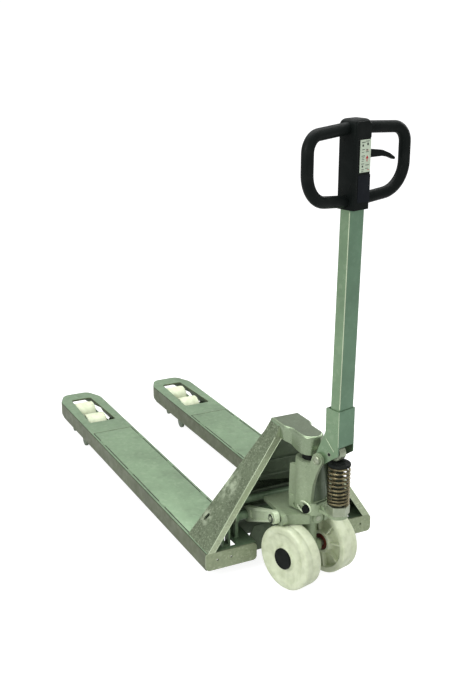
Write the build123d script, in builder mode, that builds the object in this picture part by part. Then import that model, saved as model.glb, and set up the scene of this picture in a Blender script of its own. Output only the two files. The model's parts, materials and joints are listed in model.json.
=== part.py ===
from build123d import *
from math import asin, cos, degrees, radians, sin
import os

os.makedirs("parts", exist_ok=True)

# A hand pallet jack, in millimetres. +Z is up, +X points to the operator, the fork tips point
# to -X, and +Y is the operator's right. The jack is lowered and its drawbar stands upright,
# steered a little. "left" is the -Y side. The floor is z = 0.

# ---- overall layout ----
rear = 544.76           # x of the rear face of the frame's end plates
overall_width = 540.0
fork_width = 160.0
fork_y = (overall_width - fork_width) / 2
fork_top = 85.0
fork_bottom = 32.0
tip_x = -1368.0         # fork tip, measured from the rear face
plate = 5.0             # sheet thickness of the frame
frame_top = 428.0       # top edge of the leaning plates, just under the head's rounding
lift = 115.0

knee_y = 58.0           # bend near the top of the leaning side plates
knee_z = 398.0
seam_y = 70.0           # seams on a fork's top, from the fork's middle
seam_width = 3.5
seam_front = -955.0
seam_back = -139.0

# ---- roller gear in the fork tips ----
roller_r = 40.0
roller_width = 72.0
bogie_w = roller_width / 2 + 2.8      # middle of a bogie's side plate
arm_w = bogie_w + 6.25               # middle of a roller arm's side plate
roller_gap = 122.0      # distance between the two axles of one bogie
bogie_x = -1206.0
arm_len = 165.0
hinge_x = bogie_x + arm_len
hinge_z = 38.0
arm_turn = degrees(asin((lift - 2) / arm_len)) + degrees(asin(2 / arm_len))

# ---- lifting rocker ----
shaft_x = -62.0
shaft_z = 147.5
pin_x = 92.0
pin_z = shaft_z + lift / 2
rocker_len = ((pin_x - shaft_x) ** 2 + (lift / 2) ** 2) ** 0.5
rocker_half = degrees(asin(lift / 2 / rocker_len))
crank = 32.0
arm_crank = crank * sin(radians(rocker_half)) / sin(radians(arm_turn / 2))
rod_pin_x = shaft_x + crank * sin(radians(rocker_half))
rod_pin_z = shaft_z - crank * cos(radians(rocker_half))
tip_pin_x = hinge_x + arm_crank * sin(radians(arm_turn / 2))
tip_pin_z = hinge_z + arm_crank * cos(radians(arm_turn / 2))

# ---- steered unit ----
steer_x = 97.0
steer_angle = 14.5
wheel_r = 92.0
wheel_width = 56.0
wheel_w = 72.0          # middle of a wheel, sideways from the steering axis
axle_u = 1.0
column_r = 20.0
ram_r = 17.5
cylinder_r = 46.0
cylinder_top = 366.0
base_z = 219.0
outreach_z = 228.0      # underside of the arm that carries the small piston
barrel_z = 238.0
gland_r = 25.0
ear_w = 40.0            # half width over the ears
piston_u = 104.0
pivot_u = 60.0
pivot_z = 388.0
spring_low = 264.0
spring_high = 378.0
piston_low = 296.0      # foot of the small piston with the drawbar upright
fit = 0.06              # radial clearance of running fits

# ---- drawbar and handle ----
tube_u = 104.0          # middle of the tube at its foot, from where it leans ahead
tube_lean = 0.02
tube_depth = 32.0
tube_width = 53.0
tube_top = 1062.0
loop_r = 15.0
loop_half = 170.0
loop_u = 112.0          # middle of the loop at the housing
loop_end_u = 128.0
housing_front = 145.0
housing_back = 90.0
trigger_z = 1190.0
trigger_u = 119.5

side = Vector(-sin(radians(steer_angle)), cos(radians(steer_angle)), 0)
ahead = Vector(cos(radians(steer_angle)), sin(radians(steer_angle)), 0)
axis_foot = Vector(rear + steer_x, 0, 0)


def level(z):
    """Horizontal plane of the frame, origin under the end plates' rear face."""
    return Plane(origin=(rear, 0, z), x_dir=(1, 0, 0), z_dir=(0, 0, 1))


def upright(y):
    """Plane of constant y: sketch x along +X from the rear face, sketch y up."""
    return Plane(origin=(rear, y, 0), x_dir=(1, 0, 0), z_dir=(0, -1, 0))


def across(x):
    """Plane of constant x: sketch x along +Y, sketch y up, normal +X."""
    return Plane(origin=(rear + x, 0, 0), x_dir=(0, 1, 0), z_dir=(1, 0, 0))


def s_level(z):
    """Horizontal plane of the steered unit: sketch x ahead to the operator, y to the side."""
    return Plane(origin=axis_foot + Vector(0, 0, z), x_dir=ahead, z_dir=(0, 0, 1))


def s_upright(w):
    """Upright plane of the steered unit at w to the side: sketch x ahead, sketch y up."""
    return Plane(origin=axis_foot + side * w, x_dir=ahead, z_dir=side * -1)


def s_across(u):
    """Plane of the steered unit facing the operator: sketch x to the side, sketch y up."""
    return Plane(origin=axis_foot + ahead * u, x_dir=side, z_dir=ahead)


def write(made, name):
    made.part.label = name
    export_step(made.part, f"parts/{name}.step")


def hull_outline(circles):
    """Fills the outline that wraps round the given (x, y, radius) circles."""
    with BuildSketch(mode=Mode.PRIVATE) as wrapped:
        for x, y, r in circles:
            with Locations((x, y)):
                Circle(r)
        make_hull()
    add(wrapped.sketch)


# ================= fork frame =================

def fork_outline(cy, half, nose, back, shoulder, tip):
    """Plan of a fork: straight sides, drawn in at the tip."""
    Polygon((back, cy - half), (shoulder, cy - half), (tip, cy - nose),
            (tip, cy + nose), (shoulder, cy + half), (back, cy + half), align=None)


def fork(s, name):
    cy = s * fork_y
    half = fork_width / 2
    with BuildPart() as made:
        with BuildSketch(level(fork_bottom)) as plan:
            fork_outline(cy, half, 49, -6, -1300, tip_x)
            fillet(plan.vertices().group_by(Axis.X)[0], 34)
            fillet(plan.vertices().group_by(Axis.X)[-2], 60)
        extrude(amount=fork_top - fork_bottom)
        top_edges = made.edges().group_by(Axis.Z)[-1]
        heel = top_edges.sort_by(Axis.X)[-1]
        fillet([e for e in top_edges if e is not heel], 4.5)
        # the nose runs out thinner underneath
        with BuildSketch(upright(cy + half + 1)):
            Polygon((tip_x - 1, fork_bottom - 1), (tip_x - 1, 56), (-1262, fork_bottom - 1), align=None)
        extrude(amount=fork_width + 2, mode=Mode.SUBTRACT)
        # hollow underneath, open at the heel
        with BuildSketch(level(fork_bottom - 1)):
            fork_outline(cy, half - plate, 34, -5, -1293, tip_x + 7)
        extrude(amount=fork_top - plate - fork_bottom + 1, mode=Mode.SUBTRACT)
        # window over the load rollers
        with BuildSketch(level(fork_top - 30)) as window:
            Polygon((-1302, cy - 38), (-1302, cy + 38), (-1053, cy + 49), (-1053, cy - 49),
                    align=None)
            fillet(window.vertices(), 9)
        extrude(amount=40, mode=Mode.SUBTRACT)
        # slot that the push rod's end stands up through
        with BuildSketch(level(fork_top - 20)) as slot:
            with Locations((-66, cy)):
                Rectangle(96, 42)
            fillet(slot.vertices(), 6)
        extrude(amount=30, mode=Mode.SUBTRACT)
        # joints between the top plate, the two side channels, the tip section and the frame
        with BuildSketch(level(fork_top - 1)):
            for m in (-1, 1):
                with Locations((seam_front / 2 + seam_back / 2, cy + m * seam_y)):
                    Rectangle(seam_back - seam_front, seam_width)
            with Locations((seam_front, cy), (seam_back, cy)):
                Rectangle(seam_width, 2 * seam_y + seam_width)
        extrude(amount=2, mode=Mode.SUBTRACT)
    write(made, name)


fork(-1, "fork_left")
fork(1, "fork_right")


def side_band(y_foot, thick):
    """Outline, in a plane of constant x, of the leaning side of the frame."""
    lean = Vector(knee_y - y_foot, knee_z - fork_top, 0).normalized()
    inward = Vector(-lean.Y, lean.X, 0)
    foot = Vector(y_foot, fork_top, 0)
    knee = Vector(knee_y, knee_z, 0)
    top = Vector(44.0, frame_top, 0)
    foot_in = foot + inward * thick
    slide = (fork_top - foot_in.Y) / lean.Y
    foot_in = foot_in + lean * slide
    knee_in = knee + Vector(-thick * 1.12, -thick * 0.35, 0)
    top_in = top + Vector(-thick, 0, 0)
    return [(foot.X, foot.Y), (knee.X, knee.Y), (top.X, top.Y),
            (top_in.X, top_in.Y), (knee_in.X, knee_in.Y), (foot_in.X, foot_in.Y)]


def side_plate(s, name):
    web = side_band(266.0, plate)
    lip = side_band(266.0, 18.0)
    with BuildPart() as made:
        with BuildSketch(across(0)):
            Polygon(*[(s * y, z) for y, z in web], align=None)
        extrude(amount=-140)
        with BuildSketch(across(0)):
            Polygon(*[(s * y, z) for y, z in lip], align=None)
        extrude(amount=-plate)
        # front edge leans back
        with BuildSketch(upright(0)):
            Polygon((-150, fork_top - 1), (-134.3, fork_top - 1), (-51, 433), (-150, 433), align=None)
        extrude(amount=300, both=True, mode=Mode.SUBTRACT)
        # drain hole near the front edge
        with BuildSketch(Plane(origin=(rear - 96, s * 222, 147), x_dir=(1, 0, 0),
                               z_dir=(0, s * 0.82, 0.57))):
            SlotOverall(26, 11, rotation=64)
        extrude(amount=14, both=True, mode=Mode.SUBTRACT)
    write(made, name)


side_plate(-1, "side_plate_left")
side_plate(1, "side_plate_right")

# space between the two side plates, in a plane of constant x
inner_side = side_band(266.0, plate)[5:2:-1]
inside_frame = ([(y - 0.02, z) for y, z in inner_side]
                + [(-y + 0.02, z) for y, z in reversed(inner_side)])

with BuildPart() as front_plate:
    with BuildSketch(upright(0)):
        Polygon((-133.9, fork_top), (-128, fork_top), (-47.2, frame_top), (-53.1, frame_top), align=None)
    extrude(amount=262, both=True)
    with BuildSketch(across(-150)):
        Polygon(*inside_frame, align=None)
    extrude(amount=150, mode=Mode.INTERSECT)
    # pressed stiffening ribs
    for zz, wide in ((140, 330), (190, 270), (240, 210), (290, 150)):
        xx = -133.9 + (zz - fork_top) * 80.4 / 335 + 5.6
        with Locations(Location((rear + xx, 0, zz), (90, 0, 0))):
            Cylinder(5, wide)
write(front_plate, "front_plate")

with BuildPart() as cross_tube:
    with BuildSketch(upright(0)):
        with Locations((-72, 188)):
            Circle(11)
            Circle(8, mode=Mode.SUBTRACT)
    extrude(amount=220, both=True)
    with BuildSketch(across(-100)):
        Polygon(*inside_frame, align=None)
    extrude(amount=60, mode=Mode.INTERSECT)
write(cross_tube, "cross_tube")

# plate that joins the two fork heels, behind the steered wheels
with BuildPart() as heel_plate:
    with BuildSketch(across(-50)) as face:
        Polygon((-110, 34), (110, 34), (110, fork_top), (98, 112), (-98, 112), (-110, fork_top), align=None)
    extrude(amount=plate)
    with BuildSketch(across(-50)):
        Polygon((-110, 30), (110, 30), (110, 34), (-110, 34), align=None)
    extrude(amount=-18)
write(heel_plate, "heel_plate")

nose_x = 94.0
nose_r = 33.0
head_back = -53.1
head_half = 44.0
head_top = 436.0
head_low = 383.0
with BuildPart() as head:
    with BuildSketch(level(head_top)):
        with BuildLine():
            Line((head_back, -head_half), (14, -head_half))
            Spline((14, -head_half), (33, -38.5), (52, -nose_r), tangents=((1, 0), (1, 0)))
            Line((52, -nose_r), (nose_x, -nose_r))
            RadiusArc((nose_x, -nose_r), (nose_x, nose_r), -nose_r)
            Line((nose_x, nose_r), (52, nose_r))
            Spline((52, nose_r), (33, 38.5), (14, head_half), tangents=((-1, 0), (-1, 0)))
            Line((14, head_half), (head_back, head_half))
            Line((head_back, head_half), (head_back, -head_half))
        make_face()
    extrude(amount=head_low - head_top)
    # lower edge sweeps up from the nose to the frame
    with BuildSketch(upright(0)):
        with BuildLine():
            Polyline((80, 382), (-60, 382), (-60, frame_top), (0, frame_top), (0, 396))
            Spline((0, 396), (34, 392), (58, 387), (80, 382), tangents=((1, -0.05), (1, -0.3)))
        make_face()
    extrude(amount=60, both=True, mode=Mode.SUBTRACT)
    fillet(head.edges().group_by(Axis.Z)[-1], 7.5)
    # hollow underneath, with a round seat for the ram in the nose
    with BuildSketch(level(370)):
        with Locations((19, 0)):
            Rectangle(34, 62)
    extrude(amount=50, mode=Mode.SUBTRACT)
    with BuildSketch(level(370)):
        with Locations((steer_x, 0)):
            Circle(ram_r)
    extrude(amount=40, mode=Mode.SUBTRACT)
write(head, "head")


def end_plate(s, name):
    with BuildPart() as made:
        with BuildSketch(across(0)) as face:
            with Locations((s * 192.5, (fork_top + fork_bottom) / 2)):
                Rectangle(159, fork_top - fork_bottom)
            fillet(face.vertices(), 12)
            with Locations((s * 236, 61), (s * 193, 61)):
                Circle(3.2, mode=Mode.SUBTRACT)
        extrude(amount=-5.95)
        # pressed round boss near the inner end
        with BuildSketch(across(-0.01)):
            with Locations((s * 145, 56)):
                Circle(13)
                Circle(9, mode=Mode.SUBTRACT)
        extrude(amount=1.2)
    write(made, name)


end_plate(-1, "end_plate_left")
end_plate(1, "end_plate_right")


def pivot_bracket(s, name):
    with BuildPart() as made:
        with BuildSketch(upright(s * 152)):
            with Locations((shaft_x, (fork_top + shaft_z) / 2)):
                Rectangle(26, shaft_z - fork_top)
            with Locations((shaft_x, shaft_z)):
                Circle(20)
                Circle(14 + fit, mode=Mode.SUBTRACT)
        extrude(amount=5, both=True)
    write(made, name)


pivot_bracket(-1, "pivot_bracket_left")
pivot_bracket(1, "pivot_bracket_right")

with BuildPart() as ram:
    with BuildSketch(s_level(262)):
        Circle(ram_r)
    extrude(amount=148)
    fillet(ram.edges().group_by(Axis.Z)[0], 2)
write(ram, "ram")


def arm_pin(s, name):
    with BuildPart() as made:
        with BuildSketch(upright(s * fork_y)):
            with Locations((hinge_x, hinge_z)):
                Circle(8)
        extrude(amount=fork_width / 2 - plate, both=True)
    write(made, name)


arm_pin(-1, "arm_pin_left")
arm_pin(1, "arm_pin_right")

# ================= bearing yoke, which stays at one height =================

slot_w = rocker_len - (pin_x - shaft_x)
yoke_r = 40.0
boss_x = 142.0

with BuildPart() as yoke:
    with BuildSketch(level(186)):
        with Locations((steer_x, 0)):
            Circle(yoke_r)
        for m in (-1, 1):
            Polygon((66, m * 86), (66, m * 99), (104, m * 99), (136, m * 24), (112, m * 12), (80, m * 62),
                    align=None)
        with Locations((steer_x, 0)):
            Circle(column_r + fit, mode=Mode.SUBTRACT)
    extrude(amount=30)
    for m in (-1, 1):
        with BuildSketch(upright(m * 92.5)):
            with Locations((pin_x + slot_w / 2, pin_z - 1)):
                SlotOverall(54, 32)
        extrude(amount=6.5, both=True)
        with BuildSketch(upright(m * 92.5)):
            with Locations((pin_x + slot_w / 2, pin_z)):
                SlotOverall(slot_w + 2 * 9 + 1.6, 2 * 9 + 1.8)
        extrude(amount=8, both=True, mode=Mode.SUBTRACT)
    # flat plate that reaches back between the rocker's arms
    with BuildSketch(level(202)):
        Polygon((-20, -82), (62, -85.5), (100, -85.5), (100, 85.5), (62, 85.5), (-20, 82), align=None)
        with Locations((steer_x, 0)):
            Circle(column_r + fit, mode=Mode.SUBTRACT)
    extrude(amount=11)
    # round boss at the front of the yoke
    with BuildSketch(across(122)):
        with Locations((0, 201)):
            Circle(15)
    extrude(amount=boss_x - 122)
    with BuildSketch(level(180)):
        with Locations((steer_x, 0)):
            Circle(column_r + fit)
    extrude(amount=60, mode=Mode.SUBTRACT)
    with BuildSketch(across(boss_x)):
        with Locations((0, 201)):
            Circle(5)
    extrude(amount=-7, mode=Mode.SUBTRACT)
write(yoke, "bearing_yoke")

with BuildPart() as thrust:
    with BuildSketch(s_level(216)):
        Circle(36)
        Circle(column_r + 0.4, mode=Mode.SUBTRACT)
    extrude(amount=base_z - 216.1)
write(thrust, "thrust_bearing")

# ================= rocker =================

def rocker_arm(s, name):
    low = 100.0
    with BuildPart() as made:
        with BuildSketch(upright(s * (low + 8))):
            hull_outline([(shaft_x, shaft_z, 23), (pin_x, pin_z + 4, 15)])
            with Locations((pin_x, pin_z)):
                Circle(17)
        extrude(amount=8, both=True)
        # I-section: a pocket on each face
        for y, way in ((s * (low + 16), -s), (s * low, s)):
            with BuildSketch(upright(y)):
                hull_outline([(shaft_x + 36, shaft_z + 13.4, 13), (pin_x - 32, pin_z - 9, 10)])
            extrude(amount=-4.5 * way, mode=Mode.SUBTRACT)
        with BuildSketch(upright(s * (low + 8))):
            with Locations((shaft_x, shaft_z)):
                Circle(14)
            with Locations((pin_x, pin_z)):
                Circle(9)
        extrude(amount=9, both=True, mode=Mode.SUBTRACT)
    write(made, name)


rocker_arm(-1, "rocker_arm_left")
rocker_arm(1, "rocker_arm_right")

with BuildPart() as shaft:
    with BuildSketch(upright(0)):
        with Locations((shaft_x, shaft_z)):
            Circle(14)
    extrude(amount=204, both=True)
    for m in (-1, 1):
        with BuildSketch(upright(m * fork_y)):
            hull_outline([(shaft_x, shaft_z, 20), (rod_pin_x, rod_pin_z, 11)])
        extrude(amount=6, both=True)
        with BuildSketch(upright(m * fork_y)):
            with Locations((rod_pin_x, rod_pin_z)):
                Circle(6)
        extrude(amount=13, both=True)
write(shaft, "rocker_shaft")


def yoke_pin(s, name):
    with BuildPart() as made:
        with BuildSketch(upright(s * 86)):
            with Locations((pin_x, pin_z)):
                Circle(9)
        extrude(amount=-s * 30)
        with BuildSketch(upright(s * 116)):
            with Locations((pin_x, pin_z)):
                Circle(13)
        extrude(amount=(-s) * 5)
    write(made, name)


yoke_pin(-1, "yoke_pin_left")
yoke_pin(1, "yoke_pin_right")


# ================= push rods =================

def push_rod(s, name):
    cy = s * fork_y
    with BuildPart() as made:
        # bar along the fork
        with BuildSketch(upright(cy)):
            Polygon((tip_pin_x + 14, 54), (rod_pin_x - 4, 54), (rod_pin_x - 4, 74),
                    (tip_pin_x + 14, 74), align=None)
        extrude(amount=7, both=True)
        # seat that holds the roller arm's pin, open at the top
        with BuildSketch(upright(cy)):
            Polygon((tip_pin_x - 13, 54), (tip_pin_x + 15, 54), (tip_pin_x + 15, 77.5),
                    (tip_pin_x - 13, 77.5), align=None)
        extrude(amount=9, both=True)
        with BuildSketch(upright(cy)):
            with Locations((tip_pin_x, tip_pin_z)):
                Circle(5.3)
            with Locations((tip_pin_x, tip_pin_z + 10)):
                Rectangle(10.6, 20)
        extrude(amount=10, both=True, mode=Mode.SUBTRACT)
        # two ears that stand up to the rocker's crank
        with BuildSketch(upright(cy)):
            hull_outline([(rod_pin_x, rod_pin_z, 11), (rod_pin_x, 65, 11)])
        extrude(amount=13, both=True)
        with BuildSketch(upright(cy)):
            with Locations((rod_pin_x, rod_pin_z)):
                Circle(6 + fit)
        extrude(amount=14, both=True, mode=Mode.SUBTRACT)
        with BuildSketch(level(78)):
            with Locations((rod_pin_x, cy)):
                Rectangle(60, 13)
        extrude(amount=60, mode=Mode.SUBTRACT)
    write(made, name)


push_rod(-1, "push_rod_left")
push_rod(1, "push_rod_right")

# ================= roller arms, bogies and load rollers =================

def roller_arm(s, name):
    cy = s * fork_y
    with BuildPart() as made:
        for m in (-1, 1):
            with BuildSketch(upright(cy + m * arm_w)):
                hull_outline([(hinge_x, hinge_z, 14), (bogie_x, roller_r, 13)])
            extrude(amount=3, both=True)
        # tube over the hinge pin
        with BuildSketch(upright(cy)):
            with Locations((hinge_x, hinge_z)):
                Circle(13.5)
        extrude(amount=arm_w, both=True)
        # two cranks and the pin that the push rod drives
        for m in (-1, 1):
            with BuildSketch(upright(cy + m * 15)):
                hull_outline([(hinge_x, hinge_z, 13), (tip_pin_x, tip_pin_z, 8)])
            extrude(amount=4, both=True)
        with BuildSketch(upright(cy)):
            with Locations((tip_pin_x, tip_pin_z)):
                Circle(5)
        extrude(amount=18, both=True)
        with BuildSketch(upright(cy)):
            with Locations((hinge_x, hinge_z)):
                Circle(8 + fit)
        extrude(amount=50, both=True, mode=Mode.SUBTRACT)
        with BuildSketch(upright(cy)):
            with Locations((bogie_x, roller_r)):
                Circle(8)
        extrude(amount=50, both=True, mode=Mode.SUBTRACT)
    write(made, name)


def bogie_stubs(s, name):
    cy = s * fork_y
    with BuildPart() as made:
        for m in (-1, 1):
            with BuildSketch(upright(cy + m * (bogie_w + 4.5))):
                with Locations((bogie_x, roller_r)):
                    Circle(8)
            extrude(amount=7, both=True)
    write(made, name)


def bogie(s, name):
    cy = s * fork_y
    ends = [(bogie_x - roller_gap / 2, roller_r), (bogie_x + roller_gap / 2, roller_r)]
    with BuildPart() as made:
        for m in (-1, 1):
            with BuildSketch(upright(cy + m * bogie_w)):
                hull_outline([(x, z, 14) for x, z in ends])
            extrude(amount=2.5, both=True)
        with BuildSketch(upright(cy)):
            with Locations(*ends):
                Circle(8)
            with Locations((bogie_x, roller_r)):
                Circle(8 + fit)
        extrude(amount=50, both=True, mode=Mode.SUBTRACT)
    write(made, name)


def roller_pins(s, name):
    cy = s * fork_y
    with BuildPart() as made:
        for x in (bogie_x - roller_gap / 2, bogie_x + roller_gap / 2):
            with BuildSketch(upright(cy)):
                with Locations((x, roller_r)):
                    Circle(8)
            extrude(amount=bogie_w + 2.4, both=True)
    write(made, name)


def load_roller(s, x, name):
    cy = s * fork_y
    with BuildPart() as made:
        with BuildSketch(upright(cy)):
            with Locations((x, roller_r)):
                Circle(roller_r)
                Circle(8 + fit, mode=Mode.SUBTRACT)
        extrude(amount=roller_width / 2, both=True)
        rims = made.edges().filter_by(GeomType.CIRCLE).filter_by(lambda e: e.radius > 39)
        chamfer(rims, 2.5)
        for m in (-1, 1):
            with BuildSketch(upright(cy + m * (roller_width / 2 + 0.01))):
                with Locations((x, roller_r)):
                    Circle(27)
                    Circle(15, mode=Mode.SUBTRACT)
            extrude(amount=m * 5, mode=Mode.SUBTRACT)
    write(made, name)


for s, word in ((-1, "left"), (1, "right")):
    roller_arm(s, f"roller_arm_{word}")
    bogie_stubs(s, f"bogie_stubs_{word}")
    bogie(s, f"bogie_{word}")
    roller_pins(s, f"roller_pins_{word}")
    load_roller(s, bogie_x - roller_gap / 2, f"load_roller_{word}_front")
    load_roller(s, bogie_x + roller_gap / 2, f"load_roller_{word}_rear")

# ================= pump unit, which steers =================

with BuildPart() as pump:
    # cylinder, a little wider at its foot
    with BuildSketch(s_level(cylinder_top)):
        Circle(42)
    with BuildSketch(s_level(base_z + 20)):
        Circle(48)
    loft()
    # base block
    with BuildSketch(s_level(base_z)) as block:
        Polygon((-46, -44), (50, -44), (58, -20), (58, 20), (50, 44), (-46, 44), align=None)
        fillet(block.vertices(), 12)
    extrude(amount=36)
    fillet(pump.edges().group_by(Axis.Z)[0], 3)
    # two cheeks that rise to the drawbar's pivot
    for m in (-1, 1):
        with BuildSketch(s_upright(m * 34.5)):
            with BuildLine():
                Line((-44, 250), (-41, 346))
                Line((-41, 346), (8, 350))
                Spline((8, 350), (30, 364), (pivot_u - 17.5, pivot_z + 4), tangents=((1, 0.2), (0.4, 1)))
                RadiusArc((pivot_u - 17.5, pivot_z + 4), (pivot_u - 9, pivot_z + 15.6), 18)
                RadiusArc((pivot_u - 9, pivot_z + 15.6), (pivot_u + 12, pivot_z - 13.4), 18)
                Spline((pivot_u + 12, pivot_z - 13.4), (56, 338), (45, 298), (41, 250),
                       tangents=((-0.5, -1), (0, -1)))
                Line((41, 250), (-44, 250))
            make_face()
        extrude(amount=5.5, both=True)
    # room between the cheeks for the drawbar's foot
    with BuildSketch(s_level(250)):
        with Locations((80, 0)):
            Rectangle(60, 61)
    extrude(amount=170, mode=Mode.SUBTRACT)
    with BuildSketch(s_level(cylinder_top + 1)):
        with Locations((76, 0)):
            Rectangle(70, 61)
    extrude(amount=60, mode=Mode.SUBTRACT)
    # arm that carries the small piston's barrel
    with BuildSketch(s_level(outreach_z)):
        Polygon((40, -26), (92, -22), (92, 22), (40, 26), align=None)
        with Locations((piston_u, 0)):
            Circle(27)
    extrude(amount=barrel_z - outreach_z)
    with BuildSketch(s_upright(0)):
        Polygon((50, 236), (54, 250), (67, 243), (71, 237), align=None)
    extrude(amount=16, both=True)
    # column through the yoke and housing of the wheel axle
    with BuildSketch(s_level(wheel_r)):
        Circle(column_r)
    extrude(amount=base_z - wheel_r + 2)
    with BuildSketch(s_upright(0)):
        with Locations((axle_u, wheel_r)):
            Circle(21)
    extrude(amount=28, both=True)
    with BuildSketch(s_upright(0)):
        with Locations((axle_u, wheel_r)):
            Circle(12)
    extrude(amount=50, both=True, mode=Mode.SUBTRACT)
    # bores: ram, pivot pin, small piston
    with BuildSketch(s_level(255)):
        Circle(ram_r + fit)
    extrude(amount=140, mode=Mode.SUBTRACT)
    with BuildSketch(s_level(cylinder_top - 5)):
        Circle(gland_r)
    extrude(amount=20, mode=Mode.SUBTRACT)
    with BuildSketch(s_upright(0)):
        with Locations((pivot_u, pivot_z)):
            Circle(8)
    extrude(amount=50, both=True, mode=Mode.SUBTRACT)
    with BuildSketch(s_level(outreach_z + 4)):
        with Locations((piston_u, 0)):
            Circle(10.5)
    extrude(amount=30, mode=Mode.SUBTRACT)
    # oval recess on each side of the base
    for m in (-1, 1):
        with BuildSketch(s_upright(m * 44.01)):
            with Locations((4, 236)):
                SlotOverall(50, 20, rotation=12)
        extrude(amount=m * 3, mode=Mode.SUBTRACT)
write(pump, "pump_body")

with BuildPart() as gland:
    with BuildSketch(s_level(cylinder_top - 5)):
        Circle(gland_r)
        Circle(ram_r + 0.35, mode=Mode.SUBTRACT)
    extrude(amount=19)
    chamfer(gland.edges().group_by(Axis.Z)[-1], 1.5)
write(gland, "ram_gland")

with BuildPart() as barrel:
    with BuildSketch(s_level(barrel_z)):
        with Locations((piston_u, 0)):
            RegularPolygon(32, 6, rotation=-11)
    extrude(amount=spring_low - barrel_z)
    chamfer(barrel.edges().group_by(Axis.Z)[-1], 1.5)
    with BuildSketch(s_level(outreach_z + 4)):
        with Locations((piston_u, 0)):
            Circle(10.5)
    extrude(amount=barrel_z - outreach_z - 3.5)
    with BuildSketch(s_level(spring_low)):
        with Locations((piston_u, 0)):
            Circle(17)
    extrude(amount=42)
    with BuildSketch(s_level(outreach_z + 5.5)):
        with Locations((piston_u, 0)):
            Circle(8 + fit)
    extrude(amount=90, mode=Mode.SUBTRACT)
write(barrel, "piston_barrel")

with BuildPart() as piston:
    with BuildSketch(s_level(piston_low)):
        with Locations((piston_u, 0)):
            Circle(8)
    extrude(amount=spring_high - piston_low)
write(piston, "pump_piston")

with BuildPart() as cap:
    with BuildSketch(s_level(spring_high)):
        with Locations((piston_u, 0)):
            Circle(31)
    extrude(amount=7)
    chamfer(cap.edges().group_by(Axis.Z)[-1], 2)
    with BuildSketch(s_level(spring_high + 7)):
        with Locations((piston_u, 0)):
            Circle(17)
    extrude(amount=3)
write(cap, "spring_cap")

spring_r = 27.6
wire = 3.2
turns = 9.5
with BuildPart() as spring:
    with BuildLine(s_level(spring_low + wire + 0.1)):
        coil = Helix(pitch=(spring_high - spring_low - 2 * wire - 0.2) / turns,
                     height=spring_high - spring_low - 2 * wire - 0.2, radius=spring_r,
                     center=(piston_u, 0, 0))
    with BuildSketch(Plane(origin=coil @ 0, z_dir=coil % 0)):
        Circle(wire)
    sweep(is_frenet=True)
write(spring, "pump_spring")

with BuildPart() as axle:
    with BuildSketch(s_upright(0)):
        with Locations((axle_u, wheel_r)):
            Circle(12)
    extrude(amount=wheel_w + wheel_width / 2 - 8, both=True)
write(axle, "wheel_axle")

with BuildPart() as pivot_pin:
    with BuildSketch(s_upright(0)):
        with Locations((pivot_u, pivot_z)):
            Circle(8)
    extrude(amount=42.5, both=True)
    with BuildSketch(s_upright(-40)):
        with Locations((pivot_u, pivot_z)):
            Circle(12)
    extrude(amount=3.5)
    with BuildSketch(s_upright(40)):
        with Locations((pivot_u, pivot_z)):
            Circle(12)
    extrude(amount=-3.5)
write(pivot_pin, "drawbar_pin")


def steer_wheel(s, name):
    mid = s * wheel_w
    out = mid + s * wheel_width / 2
    inn = mid - s * wheel_width / 2
    with BuildPart() as made:
        with BuildSketch(s_upright(mid)):
            with Locations((axle_u, wheel_r)):
                Circle(wheel_r)
                Circle(24, mode=Mode.SUBTRACT)
        extrude(amount=wheel_width / 2, both=True)
        rims = made.edges().filter_by(GeomType.CIRCLE).filter_by(lambda e: e.radius > wheel_r - 1)
        fillet(rims, 4)
        # dished faces: shallow outside, deep and ribbed inside
        with BuildSketch(s_upright(out + s * 0.01)):
            with Locations((axle_u, wheel_r)):
                Circle(72)
                Circle(34, mode=Mode.SUBTRACT)
        extrude(amount=s * 7, mode=Mode.SUBTRACT)
        with BuildSketch(s_upright(inn - s * 0.01)):
            with Locations((axle_u, wheel_r)):
                Circle(74)
                Circle(34, mode=Mode.SUBTRACT)
        extrude(amount=-s * 16, mode=Mode.SUBTRACT)
        with BuildSketch(s_upright(inn + s * 0.5)):
            with Locations((axle_u, wheel_r)):
                with PolarLocations(54, 8):
                    Rectangle(44, 5)
        extrude(amount=-s * 16)
    write(made, name)


def wheel_bearing(s, name):
    with BuildPart() as made:
        with BuildSketch(s_upright(s * wheel_w)):
            with Locations((axle_u, wheel_r)):
                Circle(24)
                Circle(12 + fit, mode=Mode.SUBTRACT)
        extrude(amount=23.5, both=True)
    write(made, name)


def hub_cap(s, name):
    face = s * (wheel_w + wheel_width / 2)
    with BuildPart() as made:
        with BuildSketch(s_upright(face)):
            with Locations((axle_u, wheel_r)):
                Circle(30)
        extrude(amount=-s * 6)
        fillet(made.edges().filter_by(GeomType.CIRCLE).sort_by(Axis.Y)[0 if s < 0 else -1], 2.5)
        with BuildSketch(s_upright(face)):
            with Locations((axle_u, wheel_r)):
                Circle(24)
                Circle(20, mode=Mode.SUBTRACT)
        extrude(amount=s * 1.4)
        with BuildSketch(s_upright(face)):
            with Locations((axle_u, wheel_r)):
                Circle(14)
        extrude(amount=-s * 3, mode=Mode.SUBTRACT)
    write(made, name)


for s, word in ((-1, "left"), (1, "right")):
    steer_wheel(s, f"steer_wheel_{word}")
    wheel_bearing(s, f"wheel_bearing_{word}")
    hub_cap(s, f"hub_cap_{word}")

with BuildPart() as valve:
    with BuildSketch(s_upright(44.6)):
        hull_outline([(24, 233, 8), (60, 232, 4.5)])
    extrude(amount=-6)
write(valve, "release_lever")

# ================= drawbar =================

tube_way = ahead * tube_lean + Vector(0, 0, 1)
with BuildPart() as tube:
    with BuildSketch(s_level(440)) as section:
        with Locations((tube_u, 0)):
            Rectangle(tube_depth, tube_width)
        fillet(section.vertices(), 3)
        offset(amount=-3, mode=Mode.SUBTRACT)
    extrude(amount=(tube_top - 440) * tube_way.length, dir=tube_way.normalized())
write(tube, "drawbar_tube")

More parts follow.
